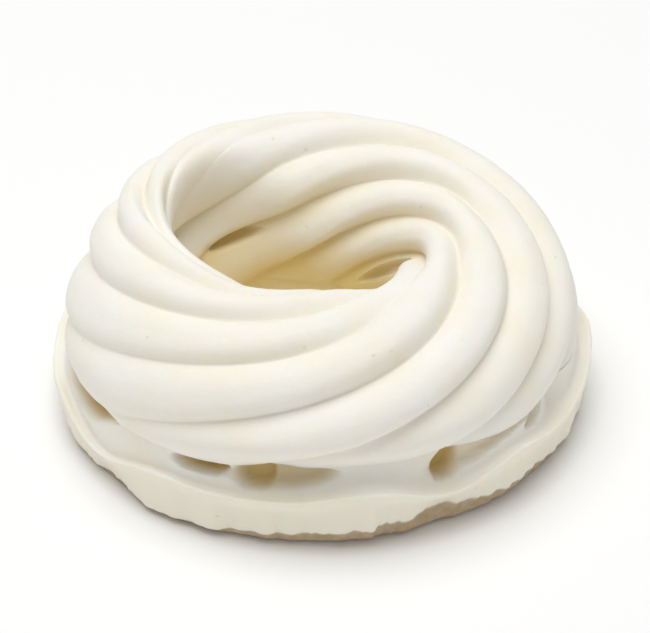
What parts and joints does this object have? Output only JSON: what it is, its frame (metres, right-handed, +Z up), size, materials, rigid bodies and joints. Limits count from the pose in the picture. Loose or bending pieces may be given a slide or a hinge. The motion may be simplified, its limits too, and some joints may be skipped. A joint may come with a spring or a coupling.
{
  "type": "meringue cookie",
  "caption": "Round meringue cookie: a rope with rounded, twisting ridges, piped as a ring round a deep hollow, on a flat foot with a wavy lip.",
  "frame": {"origin": "middle of the flat underside, on the surface that the meringue rests on", "axes": "+Z up through the hollow, -Y towards the shown front, +X to its right"},
  "size_m": [0.0792, 0.0792, 0.0334],
  "materials": {
    "dried_meringue": "matte, dry and brittle, ivory white, golden in the grooves"
  },
  "bodies": {
    "root": {"meringue": "dried_meringue"}
  },
  "joints": []
}
